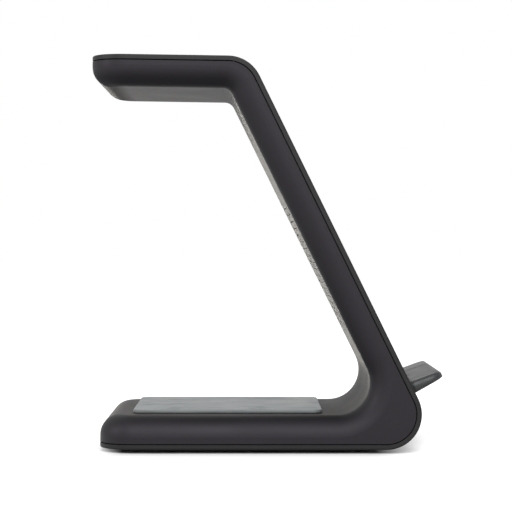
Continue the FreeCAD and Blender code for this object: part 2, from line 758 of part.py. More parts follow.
def make_phone_ledge():
    """The glossy wedge that the phone stands on, with two hooked lugs through the cover."""
    body = new_body("phone_ledge")
    body.Placement = strip_frame("leg", "ledge_height")
    profile = new_sketch(body, "ledge_profile", "YZ_Plane")
    outline(profile, [("0", "0"), ("ledge_root", "0"), ("ledge_under_rise + ledge_tip", "ledge_reach"),
                      ("ledge_under_rise", "ledge_reach")])
    pad(body, profile, "ledge_wedge", "ledge_width", symmetric=True)
    at_tip = top_ring("ledge_reach")
    fillet(body, "ledge_corners", "ledge_corner_radius",
           lambda edge: at_tip(edge) and edge.Length < value("ledge_root"))
    fillet(body, "ledge_rim", "ledge_top_radius", on_slope("ledge_root", "ledge_under_rise + ledge_tip"))
    fillet(body, "ledge_under_edge", "ledge_under_radius", on_slope("0", "ledge_under_rise"))
    under = "ledge_root / 2 - lug_thickness / 2"
    over = "ledge_root / 2 + lug_thickness / 2"
    hook = "0 - cover_wall - fit_clearance"
    tail = f"{hook} - lug_hook_length"
    for side, name in (("lug_spacing / 2", "far_lug"), ("0 - lug_spacing / 2", "near_lug")):
        across = Placement(Vector(0, 0, value(side)), Rotation())
        sketch = new_sketch(body, f"{name}_sketch", "YZ_Plane", across)
        outline(sketch, [(under, "fit_clearance"), (under, tail), (over, tail),
                         (f"{over} + lug_hook", hook), (over, hook), (over, "fit_clearance")])
        pad(body, sketch, name, "lug_width", symmetric=True)
    return body


def make_earbud_pad():
    """The plate over the base, on a spigot that leaves a thin shadow gap under its edge."""
    body = new_body("earbud_pad")
    body.Placement = level_frame(PAD_MIDDLE, "0", f"{BASE_TOP} - pad_recess")
    spigot = new_sketch(body, "pad_spigot_sketch")
    rounded_rectangle(spigot, SPIGOT_LENGTH, SPIGOT_WIDTH, SPIGOT_RADIUS)
    pad(body, spigot, "pad_spigot", "pad_recess + pad_gap")
    above = Placement(Vector(0, 0, value("pad_recess + pad_gap")), Rotation())
    plate = new_sketch(body, "pad_plate_sketch", frame=above)
    rounded_rectangle(plate, PAD_LENGTH, PAD_WIDTH, "pad_corner_radius")
    pad(body, plate, "pad_plate", "pad_proud - pad_gap")
    fillet(body, "pad_edge", "pad_edge_radius", top_ring("pad_recess + pad_proud"))
    return body


def make_watch_pad():
    """The glossy dished disc let into the top of the arm."""
    body = new_body("watch_pad")
    body.Placement = strip_frame("arm", "watch_middle")
    sketch = new_sketch(body, "watch_pad_profile", "XZ_Plane")
    rim, spigot, dish = "watch_pad_diameter / 2", "watch_spigot_diameter / 2", "watch_dish_diameter / 2"
    seat, under, top = "0 - watch_pad_recess", "0 - cover_wall", "watch_pad_proud"
    bowl = "(watch_dish_diameter / 2) ^ 2 / (2 * watch_dish_depth) + watch_dish_depth / 2"
    points = [("0", under), (spigot, under), (spigot, seat), (rim, seat), (rim, top), (dish, top),
              ("0", "watch_pad_proud - watch_dish_depth")]
    outline(sketch, points, {points.index((dish, top)): bowl})
    turn_round(body, sketch, "watch_pad_turn")
    at_top = top_ring(top)
    rim_radius = value(rim)
    fillet(body, "watch_pad_edge", "watch_pad_edge_radius",
           lambda edge: at_top(edge) and abs(edge.Vertexes[0].X - rim_radius) < SAME_PLACE)
    return body


def make_foot_mat():
    """The soft mat that the station stands on, let into the bottom of the cover."""
    body = new_body("foot_mat")
    sketch = new_sketch(body, "foot_sketch")
    rounded_rectangle(sketch, FOOT_LENGTH, FOOT_WIDTH, "foot_corner_radius")
    pad(body, sketch, "foot_plate", "foot_proud + foot_recess")
    fillet(body, "foot_edge", "foot_edge_radius", top_ring("0"))
    return body


# What the casing holds


def plate(name, frame, size_x, size_y, radius, height, flip=False):
    """Makes a flat plate with rounded corners on a frame."""
    body = new_body(name)
    body.Placement = frame
    sketch = new_sketch(body, f"{name}_sketch")
    rounded_rectangle(sketch, size_x, size_y, radius)
    pad(body, sketch, f"{name}_plate", height, flip=flip)
    return body


def disc(name, frame, diameter, height, bore=None):
    """Makes a disc or a ring that hangs below a frame."""
    body = new_body(name)
    body.Placement = frame
    sketch = new_sketch(body, f"{name}_sketch")
    circles(sketch, diameter)
    if bore:
        circles(sketch, bore)
    pad(body, sketch, f"{name}_disc", height, flip=True)
    return body


def make_phone_stack():
    """The phone's two coils, the ferrite sheet behind them and the frame that clamps them."""
    made = []
    for name, along in (("phone_coil_lower", "phone_coil_middle - phone_coil_spacing / 2"),
                        ("phone_coil_upper", "phone_coil_middle + phone_coil_spacing / 2")):
        body = new_body(name)
        body.Placement = strip_frame("leg", along, "cover_wall")
        sketch = new_sketch(body, f"{name}_sketch")
        rounded_rectangle(sketch, "phone_coil_width", "phone_coil_length", "phone_coil_corner_radius")
        rounded_rectangle(sketch, "phone_coil_width - 2 * phone_coil_winding",
                          "phone_coil_length - 2 * phone_coil_winding",
                          "phone_coil_corner_radius - phone_coil_winding")
        pad(body, sketch, f"{name}_winding", "phone_coil_height", flip=True)
        made.append(body)
    under = strip_frame("leg", "phone_coil_middle", "cover_wall + phone_coil_height")
    made.append(plate("phone_ferrite", under, "phone_ferrite_width", "phone_ferrite_length",
                      "ferrite_corner_radius", "phone_ferrite_height", flip=True))
    back = strip_frame("leg", "phone_coil_middle", f"cover_wall + {FRAME_POST}")
    frame = plate("phone_coil_frame", back, "frame_width", "frame_length", "frame_corner_radius",
                  "frame_height", flip=True)
    holes(frame, "frame_holes", level_frame(), SMALL_HOLE, "frame_height", *FRAME_SCREWS)
    for name, along in (("upper_window", "phone_coil_spacing / 2"),
                        ("lower_window", "0 - phone_coil_spacing / 2")):
        window = new_sketch(frame, f"{name}_sketch", frame=level_frame("0", along))
        rounded_rectangle(window, "frame_window_width", "frame_window_length", "frame_corner_radius")
        pocket(frame, window, name, "frame_height")
    made.append(frame)
    return made


def make_earbud_stack():
    """The earbud coil under the base's top wall, with its ferrite below it."""
    ceiling = level_frame(PAD_MIDDLE, "0", BASE_CEILING)
    coil = disc("earbud_coil", ceiling, "earbud_coil_diameter", "earbud_coil_height",
                "earbud_coil_bore")
    under = level_frame(PAD_MIDDLE, "0", f"{BASE_CEILING} - earbud_coil_height")
    ferrite = plate("earbud_ferrite", under, "earbud_ferrite_size", "earbud_ferrite_size",
                    "ferrite_corner_radius", "earbud_ferrite_height", flip=True)
    return [coil, ferrite]


def make_watch_stack():
    """The watch coil round its magnet, the ferrite under them and the holder screwed to the cover."""
    face = strip_frame("arm", "watch_middle", "cover_wall")
    coil = disc("watch_coil", face, "watch_coil_diameter", "watch_coil_height", "watch_coil_bore")
    magnet = disc("watch_magnet", face, "watch_magnet_diameter", "watch_coil_height")
    under = strip_frame("arm", "watch_middle", "cover_wall + watch_coil_height")
    ferrite = disc("watch_ferrite", under, "watch_ferrite_diameter", "watch_ferrite_height")
    back = strip_frame("arm", "watch_middle", f"cover_wall + {HOLDER_POST}")
    holder = plate("watch_holder", back, "holder_width", "holder_length", "holder_corner_radius",
                   "holder_height", flip=True)
    holes(holder, "holder_holes", level_frame(), SMALL_HOLE, "holder_height", *HOLDER_SCREWS)
    return [coil, magnet, ferrite, holder]


def make_main_board():
    """The control board, notched at the rear for the inlet."""
    body = new_body("main_board")
    body.Placement = level_frame(BOARD_REAR, "0", BOARD_UNDER)
    sketch = new_sketch(body, "board_sketch")
    side, notch = "board_width / 2", "inlet_width / 2"
    depth = f"{INLET_MOUTH} + inlet_length - ({BOARD_REAR})"
    outline(sketch, [("0", f"0 - {side}"), ("board_length", f"0 - {side}"), ("board_length", side),
                     ("0", side), ("0", notch), (depth, notch), (depth, f"0 - {notch}"),
                     ("0", f"0 - {notch}")])
    pad(body, sketch, "board_plate", "board_height")
    top = level_frame("board_length / 2", "0", "board_height")
    holes(body, "board_holes", top, SMALL_HOLE, "board_height", *reversed(BOARD_SCREWS))
    return body


def make_power_inlet():
    """The inlet's metal shell, sunk into the board's notch, and the contact tongue inside it."""
    shell = new_body("power_inlet")
    shell.Placement = inlet_frame(INLET_MOUTH)
    sketch = new_sketch(shell, "inlet_sketch")
    rounded_rectangle(sketch, "inlet_height", "inlet_width", "inlet_corner_radius")
    pad(shell, sketch, "inlet_tube", "inlet_length")
    mouth = new_sketch(shell, "inlet_bore_sketch")
    rounded_rectangle(mouth, "inlet_height - 2 * inlet_wall", "inlet_width - 2 * inlet_wall",
                      "inlet_corner_radius - inlet_wall")
    pocket(shell, mouth, "inlet_bore", "inlet_length - inlet_back", flip=True)

    tongue = doc.addObject("Part::Box", "inlet_tongue")
    tongue.Label = "inlet_tongue"
    tongue.setExpression("Length", cells("inlet_length - inlet_back - tongue_setback"))
    tongue.setExpression("Width", cells("tongue_width"))
    tongue.setExpression("Height", cells("tongue_height"))
    tongue.setExpression("Placement.Base.x", cells(f"{INLET_MOUTH} + tongue_setback"))
    tongue.setExpression("Placement.Base.y", cells("0 - tongue_width / 2"))
    tongue.setExpression("Placement.Base.z", cells(f"{INLET_MIDDLE} - tongue_height / 2"))
    return [shell, tongue]


def chip(name, along, across, length, width, height):
    """Makes one component on the board, placed by its middle from the board's rear edge."""
    box = doc.addObject("Part::Box", name)
    box.setExpression("Length", cells(length))
    box.setExpression("Width", cells(width))
    box.setExpression("Height", cells(height))
    box.setExpression("Placement.Base.x", cells(f"{BOARD_REAR} + {along} - ({length}) / 2"))
    box.setExpression("Placement.Base.y", cells(f"{across} - ({width}) / 2"))
    box.setExpression("Placement.Base.z", cells(BOARD_TOP))
    return box


def chip_row(name, kind, along, length, width, height):
    """Makes a row of like components across the board as one group."""
    chips = []
    for index in range(SIZES[f"{kind}_count"]):
        across = f"({index} - ({kind}_count - 1) / 2) * {kind}_pitch"
        chips.append(chip(f"{name}_{index + 1}", along, across, length, width, height))
    group = doc.addObject("Part::Compound", name)
    group.Links = chips
    group.Label = name
    return group


def make_components():
    """The chips, capacitors and inductors soldered to the top of the board."""
    controller = chip("controller_chip", "board_length / 2 + controller_size", "0",
                      "controller_size", "controller_size", "controller_height")
    drivers = chip_row("driver_chips", "driver", "board_length / 2 - driver_length / 2",
                       "driver_length", "driver_width", "driver_height")
    capacitors = chip_row("tuning_capacitors", "capacitor", "board_length / 2 + 2 * controller_size",
                          "capacitor_length", "capacitor_width", "capacitor_height")
    inductors = chip_row("power_inductors", "inductor",
                         "board_length / 2 - driver_length - inductor_size / 2 - lip_wall",
                         "inductor_size", "inductor_size", "inductor_height")
    return [controller, drivers, capacitors, inductors]


def make_ballast():
    """The steel plate on the floor of the base that keeps the station from tipping forwards."""
    rear = f"({BOARD_FRONT} + ballast_gap)"
    length = f"({FLOOR_FRONT} - ballast_front_margin - {rear})"
    return plate("ballast_plate", level_frame(f"{rear} + {length} / 2", "0", BASE_FLOOR), length,
                 "ballast_width", "ballast_corner_radius", "ballast_height")


# Fasteners and leads


def screw(name, head_diameter, head_height, shank_diameter, length):
    """Turns one screw whose head stands above the frame's face and whose shank goes into it."""
    body = new_body(name)
    sketch = new_sketch(body, f"{name}_profile", "XZ_Plane")
    head, shank = f"{head_diameter} / 2", f"{shank_diameter} / 2"
    outline(sketch, [("0", f"0 - ({length})"), (shank, f"0 - ({length})"), (shank, "0"), (head, "0"),
                     (head, head_height), ("0", head_height)])
    turn_round(body, sketch, f"{name}_turn")
    return body


def screw_group(name, pattern, frame, across, along, face_up=True):
    """Sets copies of a screw at the corners of a rectangle about a frame, as one node."""
    signs_y = (1, -1) if value(along) else (0,)
    shapes = []
    for sign_x in (1, -1):
        for sign_y in signs_y:
            spot = Vector(sign_x * value(across) / 2, sign_y * value(along) / 2, 0)
            turn = Rotation() if face_up else Rotation(Vector(1, 0, 0), FULL_TURN / 2)
            shape = pattern.Shape.copy()
            shape.Placement = frame.multiply(Placement(spot, turn))
            shapes.append(shape)
    group = doc.addObject("Part::Feature", name)
    group.Shape = Part.makeCompound(shapes)
    group.Label = name
    return group


def make_screws():
    """The case screws under the foot mat and the small screws of the board, frame and holder."""
    case = screw("case_screw", "case_head_diameter", "case_head_height", "case_shank_diameter",
                 "case_seat_depth - case_head_depth + case_engagement")
    sizes = ("small_head_diameter", "small_head_height", "small_shank_diameter")
    board = screw("board_screw", *sizes, "board_height + small_engagement")
    frame = screw("frame_screw", *sizes, "frame_height + small_engagement")
    holder = screw("holder_screw", *sizes, "holder_height + small_engagement")
    case_seat = strip_frame("base", CASE_MIDDLE, "case_head_depth")
    frame_back = strip_frame("leg", "phone_coil_middle", FRAME_BACK)
    holder_back = strip_frame("arm", "watch_middle", HOLDER_BACK)
    return [
        screw_group("case_screws", case, case_seat, *CASE_SCREWS),
        screw_group("board_screws", board, board_frame(BOARD_BACK), *BOARD_SCREWS, face_up=False),
        screw_group("frame_screws", frame, frame_back, *FRAME_SCREWS, face_up=False),
        screw_group("holder_screws", holder, holder_back, *HOLDER_SCREWS, face_up=False),
    ]


def tube(name, points, radii, diameter):
    """Sweeps a lead along straight runs joined by tangent arcs."""
    edges = []
    start = points[0]
    for before, corner, after, radius in zip(points, points[1:], points[2:], radii):
        arrive = (corner - before).normalize()
        leave = (after - corner).normalize()
        half_turn = arrive.getAngle(leave) / 2
        tangent = radius * math.tan(half_turn)
        middle = corner + (leave - arrive).normalize() * radius * (1 / math.cos(half_turn) - 1)
        first, last = corner - arrive * tangent, corner + leave * tangent
        if (first - start).Length > SAME_PLACE:
            edges.append(Part.LineSegment(start, first).toShape())
        edges.append(Part.Arc(first, middle, last).toShape())
        start = last
    if (points[-1] - start).Length > SAME_PLACE:
        edges.append(Part.LineSegment(start, points[-1]).toShape())
    path = Part.Wire(edges)
    ring = Part.Circle(points[0], points[1] - points[0], diameter / 2).toShape()
    lead = doc.addObject("Part::Feature", name)
    lead.Shape = path.makePipeShell([Part.Wire([ring])], True, True)
    lead.Label = name
    wanted = math.pi * diameter ** 2 / 4 * path.Length
    if abs(lead.Shape.Volume - wanted) > wanted * VOLUME_SLACK:
        raise RuntimeError(f"{name}: the tube's volume is {lead.Shape.Volume:.1f}, not {wanted:.1f}")
    return lead


def cross_point(first, second):
    """Gives the point where lines along two flats, each given with its depth and offset, cross."""
    (flat_a, depth_a, across), (flat_b, depth_b, _) = first, second
    a = on_strip(flat_a, depth=depth_a)
    b = on_strip(flat_b, depth=depth_b)
    p = meet(Vector(a.x, a.z), Vector(DIRECTION[flat_a].x, DIRECTION[flat_a].z),
             Vector(b.x, b.z), Vector(DIRECTION[flat_b].x, DIRECTION[flat_b].z))
    return Vector(p.x, value(across), p.y)


def make_leads():
    """The leads from the board to the three places, inside the casing all the way."""
    diameter = value("lead_diameter")
    bend, end = value("lead_bend_radius"), value("lead_end_radius")
    board_x = value(f"{BOARD_FRONT} - lead_board_inset")
    made = []
    for name, across in (("phone_lead", "lead_across"), ("watch_lead", "0 - lead_across")):
        run = ("base", f"{BOARD_BACK} + lead_rise", across)
        climb = ("leg", f"{FRAME_BACK} + lead_rise", across)
        out = ("arm", f"{HOLDER_BACK} + lead_rise", across)
        start = Vector(board_x, value(across), value(BOARD_TOP))
        turn = Vector(board_x, value(across), value(f"{BOARD_TOP} + lead_rise"))
        if name == "phone_lead":
            spot = ("leg", "phone_coil_middle - frame_length / 2 + phone_lead_inset")
            points = [start, turn, cross_point(run, climb),
                      on_strip(*spot, climb[1], across), on_strip(*spot, FRAME_BACK, across)]
            radii = [end, bend, end]
        else:
            spot = ("arm", "watch_middle")
            points = [start, turn, cross_point(run, climb), cross_point(climb, out),
                      on_strip(*spot, out[1], across), on_strip(*spot, HOLDER_BACK, across)]
            radii = [end, bend, bend, end]
        made.append(tube(name, points, radii, diameter))

    across = value("earbud_lead_across")
    thin = value("earbud_lead_diameter")
    low = value(BOARD_TOP)
    high = value(f"{BASE_CEILING} - earbud_coil_height - earbud_ferrite_height")
    rear = value(f"{BOARD_FRONT} - earbud_lead_inset")
    front = rear + value("earbud_lead_span")
    middle = (low + high) / 2
    points = [Vector(rear, across, low), Vector(rear, across, middle),
              Vector(front, across, middle), Vector(front, across, high)]
    made.append(tube("earbud_lead", points, [thin] * 2, thin))
    return made


def main():
    """Builds every sub-part, checks it and writes it to its own file."""
    pieces = [make_inner_shell(), make_outer_cover(), make_phone_ledge(), make_earbud_pad(),
              make_watch_pad(), make_foot_mat(), make_main_board(), make_ballast()]
    pieces += make_power_inlet() + make_components() + make_phone_stack() + make_earbud_stack()
    pieces += make_watch_stack() + make_screws() + make_leads()
    doc.recompute()
    for item in doc.Objects:
        if "Invalid" in item.State or "Error" in item.State:
            raise RuntimeError(f"{item.Label} failed: {item.State}")
    for piece in pieces:
        if piece.Shape.isNull() or not piece.Shape.isValid() or not piece.Shape.Solids:
            raise RuntimeError(f"{piece.Label} has no valid solid")
    os.makedirs("parts", exist_ok=True)
    for piece in pieces:
        piece.Shape.exportStep(f"parts/{piece.Label}.step")
        box = piece.Shape.BoundBox
        print(f"{piece.Label}: {len(piece.Shape.Solids)} solids, {piece.Shape.Volume:.0f} mm3, "
              f"{box.XLength:.1f} x {box.YLength:.1f} x {box.ZLength:.1f} mm")


main()
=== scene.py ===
# %% [markdown]
# # A charging station in soft black plastic
# The station is one stiff strip, bent twice into a C. A phone leans on the outside of the leg, an earbud
# case lies on the base and a watch lies on the arm. The shapes come from the CAD model, so this lesson
# is about everything else: the camera, a white studio, and finishes that look right from close by.
# Loading the model first means that every later size and place can be read from it, in metres.

# %% Load the CAD model
import math

import bmesh
import bpy
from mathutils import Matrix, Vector


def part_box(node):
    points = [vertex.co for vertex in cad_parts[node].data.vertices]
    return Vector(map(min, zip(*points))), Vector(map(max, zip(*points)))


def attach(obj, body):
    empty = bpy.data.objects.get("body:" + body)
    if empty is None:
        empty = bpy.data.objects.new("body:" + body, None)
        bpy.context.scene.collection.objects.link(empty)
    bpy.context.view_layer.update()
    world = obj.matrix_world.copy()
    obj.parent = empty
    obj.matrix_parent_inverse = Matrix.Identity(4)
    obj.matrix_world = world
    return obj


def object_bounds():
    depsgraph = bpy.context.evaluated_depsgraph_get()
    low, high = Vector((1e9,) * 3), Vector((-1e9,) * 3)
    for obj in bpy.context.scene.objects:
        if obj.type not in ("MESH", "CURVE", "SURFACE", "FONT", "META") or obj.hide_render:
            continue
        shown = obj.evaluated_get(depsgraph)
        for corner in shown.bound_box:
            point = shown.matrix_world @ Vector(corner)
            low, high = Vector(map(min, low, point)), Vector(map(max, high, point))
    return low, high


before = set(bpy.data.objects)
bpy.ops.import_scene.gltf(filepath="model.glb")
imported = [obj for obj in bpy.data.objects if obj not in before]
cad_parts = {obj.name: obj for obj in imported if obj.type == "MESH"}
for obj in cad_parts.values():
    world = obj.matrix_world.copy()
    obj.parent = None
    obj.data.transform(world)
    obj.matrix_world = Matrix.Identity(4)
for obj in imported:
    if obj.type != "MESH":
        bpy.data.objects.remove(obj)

scene = bpy.context.scene
cad_low, cad_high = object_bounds()
print(f"{len(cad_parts)} nodes in a box of {[round(side, 4) for side in cad_high - cad_low]} m")

# %% [markdown]
# ## The camera
# The photograph looks square at the side of the station from about two thirds of a metre away. How far
# the near and far edges of the arm and the base lie apart in the picture gives that distance. A camera
# could be tilted until the picture fits, but upright edges would then lean. A level camera with a small
# lens shift keeps them upright, which is also what a product photographer does.

# %% Camera
PICTURE_PIXELS = 512
FOCAL_PIXELS = 1783.0
AXIS_PIXEL = (249.1, 243.0)
CAMERA_PLACE = (0.0, -0.663, 0.0738)

lens = bpy.data.cameras.new("side_camera")
lens.lens = lens.sensor_width * FOCAL_PIXELS / PICTURE_PIXELS
lens.shift_x = (PICTURE_PIXELS / 2 - AXIS_PIXEL[0]) / PICTURE_PIXELS
lens.shift_y = (AXIS_PIXEL[1] - PICTURE_PIXELS / 2) / PICTURE_PIXELS
camera = bpy.data.objects.new("side_camera", lens)
camera.location = CAMERA_PLACE
camera.rotation_euler = (math.radians(90), 0, 0)
scene.collection.objects.link(camera)
scene.camera = camera
print(f"lens {lens.lens:.1f} mm, shift {lens.shift_x:.4f} by {lens.shift_y:.4f}")

# %% [markdown]
# ## Small helpers for node trees
# Every finish below is a tree of nodes. Two short functions keep the trees readable: one adds a node
# with its settings and socket values, and one makes a node group with named sockets. A group is the
# right home for an effect that several finishes share, such as grain, because it is built only once.

# %% Node helpers
def add_node(tree, kind, values=None, **settings):
    """Adds a node, sets its properties and then the values of its sockets."""
    node = tree.nodes.new(kind)
    for name, setting in settings.items():
        setattr(node, name, setting)
    for socket, value in (values or {}).items():
        node.inputs[socket].default_value = value
    return node


def new_effect(name, inputs, output):
    """Starts a node group with number inputs and one number output."""
    tree = bpy.data.node_groups.new(name, "ShaderNodeTree")
    for label, value in inputs.items():
        socket = tree.interface.new_socket(label, in_out="INPUT", socket_type="NodeSocketFloat")
        socket.default_value = value
    tree.interface.new_socket(output, in_out="OUTPUT", socket_type="NodeSocketFloat")
    return tree, tree.nodes.new("NodeGroupInput"), tree.nodes.new("NodeGroupOutput")


# %% [markdown]
# ## The white studio
# The photograph has a pure white background, and the station's grazing faces mirror it. More light on the
# station would bleach the black plastic, so the white comes from the world instead: rays from the camera,
# and rays that are mirrored or pass through, see it at strength 1, and a softer fill lights the station.
# Under the base a pale floor catches the shadow. It glows for the same rays, and more so with the distance
# from the foot, so the shadow stays under the base and the rest of the floor runs into the background.

# %% World
WHITE = (1.0, 1.0, 1.0, 1.0)
WORLD_FILL = 0.55
SEEN_STRENGTH = 1.0


def seen_directly(tree):
    """Gives 1 for rays that are seen, mirrored or passed through, and 0 for soft light."""
    rays = add_node(tree, "ShaderNodeLightPath")
    mirrored = add_node(tree, "ShaderNodeMath", operation="MAXIMUM")
    passed = add_node(tree, "ShaderNodeMath", operation="MAXIMUM")
    tree.links.new(rays.outputs["Is Camera Ray"], mirrored.inputs[0])
    tree.links.new(rays.outputs["Is Glossy Ray"], mirrored.inputs[1])
    tree.links.new(mirrored.outputs[0], passed.inputs[0])
    tree.links.new(rays.outputs["Is Transmission Ray"], passed.inputs[1])
    return passed.outputs[0]


world = bpy.data.worlds.new("white_studio")
world.use_nodes = True
scene.world = world
tree = world.node_tree
background = tree.nodes["Background"]
background.inputs["Color"].default_value = WHITE
strength = add_node(tree, "ShaderNodeMapRange", {"To Min": WORLD_FILL, "To Max": SEEN_STRENGTH})
tree.links.new(seen_directly(tree), strength.inputs["Value"])
tree.links.new(strength.outputs["Result"], background.inputs["Strength"])
print(f"world fill {WORLD_FILL}, seen at {SEEN_STRENGTH}")

# %% Floor
FLOOR_SIZE = 12.0
FLOOR_COLOUR = (0.60, 0.60, 0.60, 1.0)
GLOW_FAR = 0.68
GLOW_REACH = (0.002, 0.022)

floor_mesh = bpy.data.meshes.new("floor")
half = FLOOR_SIZE / 2
floor_mesh.from_pydata([(-half, -half, 0), (half, -half, 0), (half, half, 0), (-half, half, 0)], [],
                       [(0, 1, 2, 3)])
floor = bpy.data.objects.new("floor", floor_mesh)
scene.collection.objects.link(floor)

paper = bpy.data.materials.new("white_paper")
paper.use_nodes = True
tree = paper.node_tree
shader = tree.nodes["Principled BSDF"]
shader.inputs["Base Color"].default_value = FLOOR_COLOUR
shader.inputs["Roughness"].default_value = 1.0
shader.inputs["Specular IOR Level"].default_value = 0.0
shader.inputs["Emission Color"].default_value = WHITE
foot_low, foot_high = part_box("foot_mat")
foot_low.y = cad_low.y
foot_high.y = cad_high.y
place = add_node(tree, "ShaderNodeTexCoord")
away = add_node(tree, "ShaderNodeVectorMath", {1: (foot_low + foot_high) / 2}, operation="SUBTRACT")
either_side = add_node(tree, "ShaderNodeVectorMath", operation="ABSOLUTE")
beyond = add_node(tree, "ShaderNodeVectorMath", {1: (foot_high - foot_low) / 2}, operation="SUBTRACT")
outside = add_node(tree, "ShaderNodeVectorMath", {1: (0.0, 0.0, 0.0)}, operation="MAXIMUM")
distance = add_node(tree, "ShaderNodeVectorMath", operation="LENGTH")
spread = add_node(tree, "ShaderNodeMapRange", {"From Min": GLOW_REACH[0], "From Max": GLOW_REACH[1],
                                               "To Max": GLOW_FAR})
glow = add_node(tree, "ShaderNodeMath", operation="MULTIPLY")
tree.links.new(place.outputs["Object"], away.inputs[0])
tree.links.new(away.outputs["Vector"], either_side.inputs[0])
tree.links.new(either_side.outputs["Vector"], beyond.inputs[0])
tree.links.new(beyond.outputs["Vector"], outside.inputs[0])
tree.links.new(outside.outputs["Vector"], distance.inputs[0])
tree.links.new(distance.outputs["Value"], spread.inputs["Value"])
tree.links.new(spread.outputs["Result"], glow.inputs[0])
tree.links.new(seen_directly(tree), glow.inputs[1])
tree.links.new(glow.outputs[0], shader.inputs["Emission Strength"])
floor_mesh.materials.append(paper)
scene.view_settings.view_transform = "Standard"
print(f"floor {FLOOR_SIZE} m wide")

# %% [markdown]
# ## Two softboxes
# Large lamps give the broad, soft gradients that show the shape of a black object. The main one hangs
# in front, above the camera, so the upright faces catch it and the rounded edges fall off into the
# dark. The other stands to the left, where the rounded corners of the arm and the base mirror it as a
# short streak. The white studio does the rest.

# %% Lamps
def softbox(name, place, target, width, height, watts):
    """Hangs a rectangular soft lamp that looks at a point."""
    lamp = bpy.data.lights.new(name, "AREA")
    lamp.shape = "RECTANGLE"
    lamp.size = width
    lamp.size_y = height
    lamp.energy = watts
    holder = bpy.data.objects.new(name, lamp)
    holder.location = place
    holder.rotation_euler = (Vector(target) - Vector(place)).to_track_quat("-Z", "Y").to_euler()
    scene.collection.objects.link(holder)


MIDDLE = (cad_low + cad_high) / 2
softbox("front_softbox", place=(0.0, -1.0, 0.70), target=MIDDLE, width=0.6, height=1.0, watts=20.3)
softbox("left_softbox", place=(-0.90, -0.40, 0.45), target=MIDDLE, width=0.3, height=0.4, watts=6.5)

# %% [markdown]
# ## Shared effects
# Moulded plastic is never quite even. The steel mould is spark-eroded, which leaves a fine grain; the
# colour drifts slightly over a few centimetres; fingers leave faint smudges; polished faces carry
# hairline scratches; and the ledge has streaks where phones are drawn across it. Each effect is a group
# that gives out one number over the surface. Object coordinates are in metres here, so a scale of 3000
# means about three cells to the millimetre.

# %% Grain of a spark-eroded mould
def grain_effect():
    """Makes the height of a fine moulded grain."""
    tree, given, result = new_effect("moulded_grain", {"Scale": 3000.0}, "Height")
    place = add_node(tree, "ShaderNodeTexCoord")
    bumps = add_node(tree, "ShaderNodeTexVoronoi", feature="SMOOTH_F1")
    fine = add_node(tree, "ShaderNodeTexNoise", {"Detail": 2.0, "Roughness": 0.6})
    height = add_node(tree, "ShaderNodeMath", operation="MULTIPLY")
    for texture in (bumps, fine):
        tree.links.new(place.outputs["Object"], texture.inputs["Vector"])
        tree.links.new(given.outputs["Scale"], texture.inputs["Scale"])
    tree.links.new(bumps.outputs["Distance"], height.inputs[0])
    tree.links.new(fine.outputs["Fac"], height.inputs[1])
    tree.links.new(height.outputs[0], result.inputs["Height"])
    return tree


moulded_grain = grain_effect()
print("effect:", moulded_grain.name)

# %% Drift of colour over a moulding
def drift_effect():
    """Makes a slow, cloudy drift from 0 to 1."""
    tree, given, result = new_effect("colour_drift", {"Scale": 40.0, "Spread": 0.25}, "Drift")
    place = add_node(tree, "ShaderNodeTexCoord")
    cloud = add_node(tree, "ShaderNodeTexNoise", {"Detail": 4.0, "Roughness": 0.55, "Distortion": 0.4})
    low = add_node(tree, "ShaderNodeMath", {0: 0.5}, operation="SUBTRACT")
    high = add_node(tree, "ShaderNodeMath", {0: 0.5}, operation="ADD")
    stretch = add_node(tree, "ShaderNodeMapRange", interpolation_type="SMOOTHSTEP")
    tree.links.new(place.outputs["Object"], cloud.inputs["Vector"])
    tree.links.new(given.outputs["Scale"], cloud.inputs["Scale"])
    tree.links.new(given.outputs["Spread"], low.inputs[1])
    tree.links.new(given.outputs["Spread"], high.inputs[1])
    tree.links.new(cloud.outputs["Fac"], stretch.inputs["Value"])
    tree.links.new(low.outputs[0], stretch.inputs["From Min"])
    tree.links.new(high.outputs[0], stretch.inputs["From Max"])
    tree.links.new(stretch.outputs["Result"], result.inputs["Drift"])
    return tree


colour_drift = drift_effect()
print("effect:", colour_drift.name)

# %% Hairline scratches on polished faces
SCRATCH_TURNS = (20.0, -35.0)


def scratch_effect():
    """Makes thin crossing lines, 1 in a scratch and 0 beside it."""
    tree, given, result = new_effect("hairline_scratches", {"Scale": 90.0}, "Scratch")
    place = add_node(tree, "ShaderNodeTexCoord")
    total = None
    for turn in SCRATCH_TURNS:
        aim = add_node(tree, "ShaderNodeMapping", {"Rotation": (0.3, 0.2, math.radians(turn)),
                                                   "Scale": (1.0, 26.0, 8.0)})
        lines = add_node(tree, "ShaderNodeTexNoise", {"Detail": 1.0, "Roughness": 0.4})
        thin = add_node(tree, "ShaderNodeMapRange", {"From Min": 0.66, "From Max": 0.72})
        tree.links.new(place.outputs["Object"], aim.inputs["Vector"])
        tree.links.new(aim.outputs["Vector"], lines.inputs["Vector"])
        tree.links.new(given.outputs["Scale"], lines.inputs["Scale"])
        tree.links.new(lines.outputs["Fac"], thin.inputs["Value"])
        if total is None:
            total = thin.outputs["Result"]
        else:
            both = add_node(tree, "ShaderNodeMath", operation="MAXIMUM")
            tree.links.new(total, both.inputs[0])
            tree.links.new(thin.outputs["Result"], both.inputs[1])
            total = both.outputs[0]
    tree.links.new(total, result.inputs["Scratch"])
    return tree


hairline_scratches = scratch_effect()
print("effect:", hairline_scratches.name)

